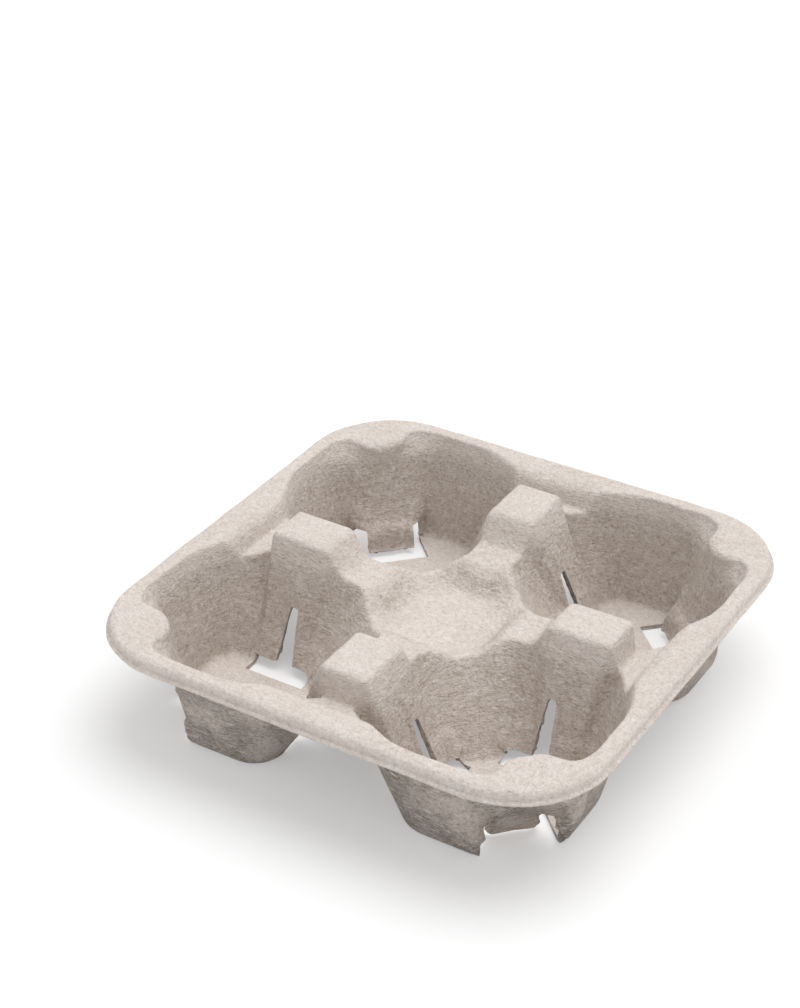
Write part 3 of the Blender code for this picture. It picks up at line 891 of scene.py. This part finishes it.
class Nodes:
    """Short calls that add nodes to a tree and link them."""

    def __init__(self, tree):
        self.tree = tree

    def add(self, kind, inputs=None, **settings):
        node = self.tree.nodes.new(kind)
        for name, value in settings.items():
            setattr(node, name, value)
        for name, value in (inputs or {}).items():
            if isinstance(value, bpy.types.NodeSocket):
                self.tree.links.new(value, node.inputs[name])
            else:
                node.inputs[name].default_value = value
        return node

    def noise(self, vector, scale, detail=3.0, roughness=0.6):
        inputs = {"Vector": vector, "Scale": scale, "Detail": detail, "Roughness": roughness}
        return self.add("ShaderNodeTexNoise", inputs).outputs["Fac"]

    def stretched(self, vector, scale):
        return self.add("ShaderNodeMapping", {"Vector": vector, "Scale": scale}).outputs["Vector"]

    def math(self, operation, first, second=0.0):
        return self.add("ShaderNodeMath", {0: first, 1: second}, operation=operation).outputs[0]

    def off_middle(self, value):
        """How far a noise lies from its middle value, so that thin lines run where it is 0."""
        return self.math("ABSOLUTE", self.math("SUBTRACT", value, 0.5))

    def ramp(self, value, low, high, to_low=0.0, to_high=1.0):
        inputs = {"Value": value, "From Min": low, "From Max": high, "To Min": to_low, "To Max": to_high}
        return self.add("ShaderNodeMapRange", inputs).outputs["Result"]

    def random(self, low, high, seed):
        inputs = {2: low, 3: high, "Seed": seed}
        return self.add("FunctionNodeRandomValue", inputs, data_type="FLOAT").outputs[1]

    def shown(self):
        """1 for the rays that show a backdrop: the camera's, and those that metal or glass passes on."""
        path = self.add("ShaderNodeLightPath").outputs
        reflected = self.math("MAXIMUM", path["Is Glossy Ray"], path["Is Transmission Ray"])
        return self.math("MAXIMUM", path["Is Camera Ray"], reflected)

    def mix(self, share, first, second):
        return self.add("ShaderNodeMix", {0: share, 6: first, 7: second}, data_type="RGBA").outputs[2]


def new_group(name, inputs, outputs):
    """A shader node group with these sockets, its nodes, and its input and output nodes."""
    group = bpy.data.node_groups.new(name, "ShaderNodeTree")
    for label, kind in inputs:
        group.interface.new_socket(label, in_out="INPUT", socket_type=kind)
    for label, kind in outputs:
        group.interface.new_socket(label, in_out="OUTPUT", socket_type=kind)
    return group, Nodes(group), group.nodes.new("NodeGroupInput"), group.nodes.new("NodeGroupOutput")


def pulp_colour_group():
    """Mottled pulp with dark and pale fibres in it, and painted shade that darkens the steep walls."""
    colours = ("Pulp", "Dark", "Light")
    group, nodes, source, result = new_group(
        "pulp_colour",
        [("Coordinate", "NodeSocketVector"), *((label, "NodeSocketColor") for label in colours)],
        [("Colour", "NodeSocketColor")],
    )
    place = source.outputs["Coordinate"]
    pulp, dark, light = (source.outputs[label] for label in colours)
    steep = nodes.add("ShaderNodeAttribute", attribute_name=STEEP_SHADE).outputs["Fac"]
    patches = nodes.ramp(nodes.noise(place, PATCHES, 2.0), 0.35, 0.7, 0.0, 0.16)
    # Painted shade: steep walls are mixed towards the dark colour, on top of the random patches.
    colour = nodes.mix(nodes.math("ADD", patches, nodes.math("MULTIPLY", steep, 0.36)), pulp, dark)
    clouds = nodes.ramp(nodes.noise(place, CLOUDS, 3.0, 0.65), 0.48, 0.72, 0.0, 0.5)
    colour = nodes.mix(clouds, colour, light)
    shades = nodes.ramp(nodes.noise(place, SHADES, 3.0, 0.7), 0.48, 0.7, 0.0, 0.7)
    # Painted shade: the dark shades are made stronger on steep walls.
    depth = nodes.math("ADD", nodes.math("MULTIPLY", steep, 0.7), 0.5)
    colour = nodes.mix(nodes.math("MULTIPLY", shades, depth), colour, dark)
    moved = nodes.add("ShaderNodeVectorMath", {0: place, 1: (0.37, 0.61, 0.23)}, operation="ADD").outputs[0]
    for scale, tint, amount in (((0.7, 0.5, 1.0), dark, 0.4), ((0.5, 0.8, 1.1), light, 0.35)):
        thread = nodes.noise(nodes.stretched(moved, scale), STRANDS, 2.0, 0.5)
        strand = nodes.ramp(nodes.off_middle(thread), 0.0, 0.035, amount, 0.0)
        colour = nodes.mix(strand, colour, tint)
    group.links.new(colour, result.inputs["Colour"])
    return group


def felt_grain_group():
    """Height of matted fibres: lumps, grain and short level dashes."""
    group, nodes, source, result = new_group(
        "felt_grain", [("Coordinate", "NodeSocketVector")], [("Height", "NodeSocketFloat")]
    )
    place = source.outputs["Coordinate"]
    lumps = nodes.noise(place, LUMPS, 3.0)
    grain = nodes.math("MULTIPLY", nodes.noise(place, GRAIN, 3.0, 0.7), 0.55)
    dashes = nodes.math("MULTIPLY", nodes.noise(nodes.stretched(place, (0.45, 0.45, 1.5)), DASHES, 2.0), 0.6)
    height = nodes.math("ADD", nodes.math("ADD", lumps, grain), dashes)
    group.links.new(height, result.inputs["Height"])
    return group


def wrinkle_group():
    """Height of the short, level, scratchy lines on the rough side of the sheet."""
    group, nodes, source, result = new_group(
        "drawn_wrinkles", [("Coordinate", "NodeSocketVector")], [("Height", "NodeSocketFloat")]
    )
    place = source.outputs["Coordinate"]
    threads = nodes.noise(nodes.stretched(place, (0.3, 0.3, 1.5)), SCRATCHES, 3.0)
    lines = nodes.ramp(nodes.off_middle(threads), 0.0, 0.1)
    where = nodes.ramp(nodes.noise(place, SCRATCHED_AREAS, 2.0), 0.35, 0.65)
    group.links.new(nodes.math("MULTIPLY", lines, where), result.inputs["Height"])
    return group


def pulp_material(name, look, groups, tint, wrinkles, relief):
    """Pulp in a shade of the main colour, with grain and, on the rough side, wrinkles."""
    material = bpy.data.materials.new(name)
    material.use_nodes = True
    nodes = Nodes(material.node_tree)
    shader = material.node_tree.nodes["Principled BSDF"]
    shader.inputs["Roughness"].default_value = look.roughness
    shader.inputs["Specular IOR Level"].default_value = 0.25
    place = nodes.add("ShaderNodeTexCoord").outputs["Object"]
    colours = {
        label: (*(part * tint for part in value), 1.0)
        for label, value in (("Pulp", look.colour), ("Dark", look.dark), ("Light", look.light))
    }
    mottled = nodes.add("ShaderNodeGroup", {"Coordinate": place, **colours}, node_tree=groups["colour"])
    material.node_tree.links.new(mottled.outputs[0], shader.inputs["Base Color"])
    height = nodes.add("ShaderNodeGroup", {"Coordinate": place}, node_tree=groups["grain"]).outputs[0]
    if wrinkles:
        lines = nodes.add("ShaderNodeGroup", {"Coordinate": place}, node_tree=groups["wrinkles"]).outputs[0]
        height = nodes.math("ADD", height, nodes.math("MULTIPLY", lines, wrinkles))
    bump = nodes.add("ShaderNodeBump", {"Height": height, "Distance": relief, "Strength": 1.0})
    material.node_tree.links.new(bump.outputs["Normal"], shader.inputs["Normal"])
    return material


def pulp_materials(look):
    """The smooth side and the rough side."""
    groups = {"colour": pulp_colour_group(), "grain": felt_grain_group(), "wrinkles": wrinkle_group()}
    return (
        pulp_material("pulp_face", look, groups, 1.0, 0.0, 1.0 * MM),
        pulp_material("pulp_back", look, groups, 0.97, 1.0, 1.4 * MM),
    )


def fibre_material(look):
    material = bpy.data.materials.new("pulp_fibre")
    material.use_nodes = True
    nodes = Nodes(material.node_tree)
    shader = material.node_tree.nodes["Principled BSDF"]
    shader.inputs["Roughness"].default_value = look.roughness
    place = nodes.add("ShaderNodeTexCoord").outputs["Object"]
    share = nodes.ramp(nodes.noise(place, FIBRE_AREAS, 2.0), 0.4, 0.6)
    colour = nodes.mix(share, (*look.colour, 1.0), (*look.light, 1.0))
    material.node_tree.links.new(colour, shader.inputs["Base Color"])
    return material


def fibre_tree(material):
    """Geometry nodes that lay bent fibres over a surface."""
    tree = bpy.data.node_groups.new("loose_fibres", "GeometryNodeTree")
    face = tree.interface
    face.new_socket("Surface", in_out="INPUT", socket_type="NodeSocketGeometry")
    for label in ("Density", "Length", "Width"):
        face.new_socket(label, in_out="INPUT", socket_type="NodeSocketFloat")
    face.new_socket("Seed", in_out="INPUT", socket_type="NodeSocketInt")
    face.new_socket("Fibres", in_out="OUTPUT", socket_type="NodeSocketGeometry")
    nodes = Nodes(tree)
    source, result = tree.nodes.new("NodeGroupInput"), tree.nodes.new("NodeGroupOutput")
    length, width, seed = (source.outputs[label] for label in ("Length", "Width", "Seed"))
    place = nodes.add("GeometryNodeInputPosition").outputs[0]
    height = nodes.add("ShaderNodeSeparateXYZ", {0: place}).outputs["Z"]
    points = nodes.add(
        "GeometryNodeDistributePointsOnFaces",
        {
            "Mesh": source.outputs["Surface"],
            "Selection": nodes.math("GREATER_THAN", height, FIBRE_FROM),
            "Density": source.outputs["Density"],
            "Seed": seed,
        },
    )
    start = nodes.add("ShaderNodeCombineXYZ", {"X": nodes.math("MULTIPLY", length, -0.5)})
    middle = nodes.add("ShaderNodeCombineXYZ", {"Y": nodes.math("MULTIPLY", length, FIBRE_BOW)})
    end = nodes.add("ShaderNodeCombineXYZ", {"X": nodes.math("MULTIPLY", length, 0.5)})
    curve = nodes.add(
        "GeometryNodeCurveQuadraticBezier",
        {"Resolution": 4, "Start": start.outputs[0], "Middle": middle.outputs[0], "End": end.outputs[0]},
    )
    half_width = nodes.math("MULTIPLY", width, 0.5)
    ring = nodes.add("GeometryNodeCurvePrimitiveCircle", {"Resolution": 3, "Radius": half_width})
    strand = nodes.add(
        "GeometryNodeCurveToMesh",
        {"Curve": curve.outputs[0], "Profile Curve": ring.outputs[0], "Fill Caps": True},
    )
    laid = nodes.add(
        "GeometryNodeInstanceOnPoints",
        {
            "Points": points.outputs["Points"],
            "Instance": strand.outputs[0],
            "Rotation": points.outputs["Rotation"],
            "Scale": nodes.random(*FIBRE_SCALES, seed),
        },
    )
    turn = nodes.add("ShaderNodeCombineXYZ", {"Z": nodes.random(-math.pi, math.pi, seed)}).outputs[0]
    turned = nodes.add("GeometryNodeRotateInstances", {"Instances": laid.outputs[0], "Rotation": turn})
    solid = nodes.add("GeometryNodeRealizeInstances", {"Geometry": turned.outputs[0]})
    dressed = nodes.add("GeometryNodeSetMaterial", {"Geometry": solid.outputs[0], "Material": material})
    tree.links.new(dressed.outputs[0], result.inputs[0])
    return tree


def set_inputs(modifier, values):
    """Sets a geometry modifier's inputs by their sockets' identifiers."""
    for item in modifier.node_group.interface.items_tree:
        if item.in_out == "INPUT" and item.name in values:
            modifier[item.identifier] = values[item.name]


class CARRIER_OT_tray(Operator):
    """Make the pulp sheet"""

    bl_idname = "carrier.tray"
    bl_label = "Make the tray"

    def execute(self, context):
        sizes, look = context.scene.carrier_sizes, context.scene.pulp_look
        form = whole_sheet(sizes)
        tear_edges(form, sizes, look.seed)
        make_uneven(form, look.seed)
        mesh = bpy.data.meshes.new("pulp_tray")
        form.to_mesh(mesh)
        form.free()
        mark_steep_for_painted_shade(mesh, sizes.rim_height - LIP_DROP)
        for material in pulp_materials(look):
            mesh.materials.append(material)
        tray = linked("pulp_tray", mesh)
        sheet = tray.modifiers.new("sheet", "SOLIDIFY")
        sheet.thickness = sizes.sheet
        sheet.offset = -1.0
        sheet.material_offset = 1
        sheet.material_offset_rim = 1
        applied(tray)
        for vert in tray.data.vertices:
            vert.co.z = max(vert.co.z, LOW.z)
        tray.data.shade_smooth()
        tray.data.set_sharp_from_angle(angle=SHARP_ANGLE)
        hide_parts(NODE)
        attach(tray, "root")
        return {"FINISHED"}


class CARRIER_OT_fibres(Operator):
    """Lay loose fibres over the tray"""

    bl_idname = "carrier.fibres"
    bl_label = "Lay the loose fibres"

    def execute(self, context):
        look = context.scene.pulp_look
        tray = bpy.data.objects["pulp_tray"]
        area = sum(face.area for face in tray.data.polygons)
        fibres = linked("pulp_fibres", tray.data.copy())
        layer = fibres.modifiers.new("loose_fibres", "NODES")
        layer.node_group = fibre_tree(fibre_material(look))
        set_inputs(
            layer,
            {
                "Density": look.loose_fibres / area,
                "Length": look.fibre_length,
                "Width": look.fibre_width,
                "Seed": look.seed,
            },
        )
        applied(fibres)
        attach(fibres, "root")
        return {"FINISHED"}


class CARRIER_OT_stage(Operator):
    """Make the floor, the light and the camera"""

    bl_idname = "carrier.stage"
    bl_label = "Make the stage"

    def execute(self, context):
        stage = context.scene.stage_look
        half = stage.floor_size / 2
        form = bmesh.new()
        corners = ((-half, -half), (half, -half), (half, half), (-half, half))
        form.faces.new([form.verts.new((x, y, LOW.z)) for x, y in corners])
        mesh = bpy.data.meshes.new("floor")
        form.to_mesh(mesh)
        form.free()
        floor = linked("floor", mesh)
        material = bpy.data.materials.new("pale_floor")
        material.use_nodes = True
        shader = material.node_tree.nodes["Principled BSDF"]
        shader.inputs["Base Color"].default_value = (*stage.floor_colour, 1.0)
        shader.inputs["Roughness"].default_value = 1.0
        shader.inputs["Specular IOR Level"].default_value = 0.0
        nodes = Nodes(material.node_tree)
        white = nodes.add("ShaderNodeEmission", {"Color": (1.0, 1.0, 1.0, 1.0), "Strength": 1.0})
        share = nodes.math("MULTIPLY", nodes.shown(), stage.floor_glow)
        both = nodes.add("ShaderNodeMixShader", {0: share, 1: shader.outputs[0], 2: white.outputs[0]})
        output = material.node_tree.nodes["Material Output"]
        material.node_tree.links.new(both.outputs[0], output.inputs["Surface"])
        mesh.materials.append(material)
        world = bpy.data.worlds.new("studio")
        world.use_nodes = True
        nodes = Nodes(world.node_tree)
        light = world.node_tree.nodes["Background"]
        light.inputs["Color"].default_value = (1.0, 1.0, 1.0, 1.0)
        light.inputs["Strength"].default_value = stage.sky
        backdrop = nodes.add("ShaderNodeBackground", {"Color": (1.0, 1.0, 1.0, 1.0), "Strength": 1.0})
        both = nodes.add("ShaderNodeMixShader", {0: nodes.shown(), 1: light.outputs[0], 2: backdrop.outputs[0]})
        world.node_tree.links.new(both.outputs[0], world.node_tree.nodes["World Output"].inputs["Surface"])
        context.scene.world = world
        lamp_data = bpy.data.lights.new("overhead", "SUN")
        lamp_data.angle = LAMP_ANGLE
        lamp_data.energy = stage.lamp
        lamp = linked("overhead", lamp_data)
        lamp.location = LAMP_PLACE
        lamp.rotation_euler = (-Vector(LAMP_PLACE)).to_track_quat("-Z", "Y").to_euler()
        camera_data = bpy.data.cameras.new("camera")
        camera_data.lens = CAMERA_LENS
        camera_data.sensor_width = CAMERA_SENSOR
        camera = linked("camera", camera_data)
        camera.location = CAMERA_PLACE
        aim = Vector(CAMERA_AIM) - Vector(CAMERA_PLACE)
        camera.rotation_euler = aim.to_track_quat("-Z", "Y").to_euler()
        context.scene.camera = camera
        context.scene.view_settings.view_transform = "Standard"
        return {"FINISHED"}


class CARRIER_PT_panel(Panel):
    """Panel of the cup carrier"""

    bl_idname = "CARRIER_PT_panel"
    bl_label = "Cup carrier"
    bl_space_type = "VIEW_3D"
    bl_region_type = "UI"
    bl_category = "Cup carrier"

    def draw(self, context):
        layout = self.layout
        for group in (context.scene.carrier_sizes, context.scene.pulp_look, context.scene.stage_look):
            box = layout.box()
            for name in group.__annotations__:
                box.prop(group, name)
        for operator in OPERATORS:
            layout.operator(operator.bl_idname)


OPERATORS = (CARRIER_OT_tray, CARRIER_OT_fibres, CARRIER_OT_stage)
CLASSES = (CarrierSizes, PulpLook, StageLook, *OPERATORS, CARRIER_PT_panel)


def register():
    for cls in CLASSES:
        bpy.utils.register_class(cls)
    bpy.types.Scene.carrier_sizes = PointerProperty(type=CarrierSizes)
    bpy.types.Scene.pulp_look = PointerProperty(type=PulpLook)
    bpy.types.Scene.stage_look = PointerProperty(type=StageLook)


def unregister():
    del bpy.types.Scene.carrier_sizes
    del bpy.types.Scene.pulp_look
    del bpy.types.Scene.stage_look
    for cls in reversed(CLASSES):
        bpy.utils.unregister_class(cls)


def main():
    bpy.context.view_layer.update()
    register()
    bpy.ops.carrier.tray()
    bpy.ops.carrier.fibres()
    bpy.ops.carrier.stage()


if __name__ == "__main__":
    main()
